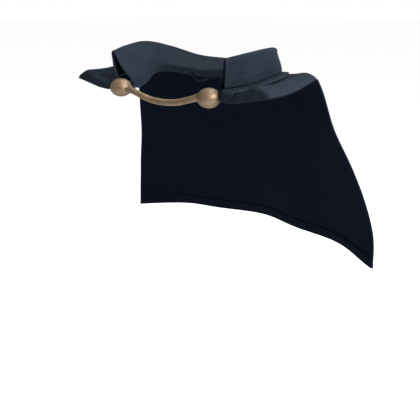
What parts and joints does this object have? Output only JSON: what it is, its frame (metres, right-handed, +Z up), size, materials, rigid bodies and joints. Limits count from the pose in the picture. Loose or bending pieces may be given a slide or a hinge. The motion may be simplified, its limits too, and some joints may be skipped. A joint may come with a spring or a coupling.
{
  "type": "shoulder cape",
  "caption": "Short navy wool shoulder cape with a wide standing collar, padded shoulders, a hanging back, and two brass ball clasps joined by a hanging chain.",
  "frame": {"origin": "centre of the neck opening, level with the centres of the two clasps", "axes": "+X to the wearer's left, +Y to the wearer's back, +Z up as worn"},
  "size_m": [0.6, 0.2791, 0.3541],
  "materials": {
    "wool": "matte",
    "satin_lining": "satin",
    "canvas": "matte",
    "wadding": "matte",
    "tape": "matte",
    "antique_brass": "satin",
    "chain_brass": "satin",
    "steel": "satin"
  },
  "bodies": {
    "cape": {"back_lining_left": "satin_lining", "back_lining_right": "satin_lining", "back_shell_left": "wool", "back_shell_right": "wool", "ball_lower_left": "antique_brass", "ball_lower_right": "antique_brass", "ball_upper_left": "antique_brass", "ball_upper_right": "antique_brass", "clasp_eyelet_left": "steel", "clasp_eyelet_right": "steel", "clasp_nut_left": "steel", "clasp_nut_right": "steel", "clasp_plate_left": "steel", "clasp_plate_right": "steel", "clasp_post_left": "steel", "clasp_post_right": "steel", "clasp_rivet_left": "antique_brass", "clasp_rivet_right": "antique_brass", "clasp_tab_left": "wool", "clasp_tab_right": "wool", "collar_canvas_left": "canvas", "collar_canvas_right": "canvas", "collar_facing_left": "wool", "collar_facing_right": "wool", "collar_fall_left": "wool", "collar_fall_right": "wool", "front_facing_left": "wool", "front_facing_right": "wool", "hanger_loop": "tape", "hem_facing_left": "satin_lining", "hem_facing_right": "satin_lining", "neck_tape_left": "tape", "neck_tape_right": "tape", "shoulder_lining_left": "satin_lining", "shoulder_lining_right": "satin_lining", "shoulder_pad_left": "wadding", "shoulder_pad_right": "wadding", "shoulder_shell_left": "wool", "shoulder_shell_right": "wool", "yoke_back_left": "wool", "yoke_back_right": "wool", "yoke_left": "wool", "yoke_right": "wool"},
    "chain_pivot": {"pivot_bead_right": "antique_brass"},
    "chain": {"chain": "chain_brass", "chain_cap_left": "antique_brass", "chain_cap_right": "antique_brass", "chain_stem_left": "antique_brass", "chain_stem_right": "antique_brass"}
  },
  "joints": [
    {"name": "chain_unhook", "type": "hinge", "parent": "cape", "child": "chain_pivot", "pos_m": [-0.0952, -0.045, 0], "axis": [0, 0, -1], "range_deg": [0, 8]},
    {"name": "chain_swing", "type": "hinge", "parent": "chain_pivot", "child": "chain", "pos_m": [-0.0952, -0.045, 0], "axis": [-1, 0, 0], "range_deg": [-60, 110]}
  ]
}
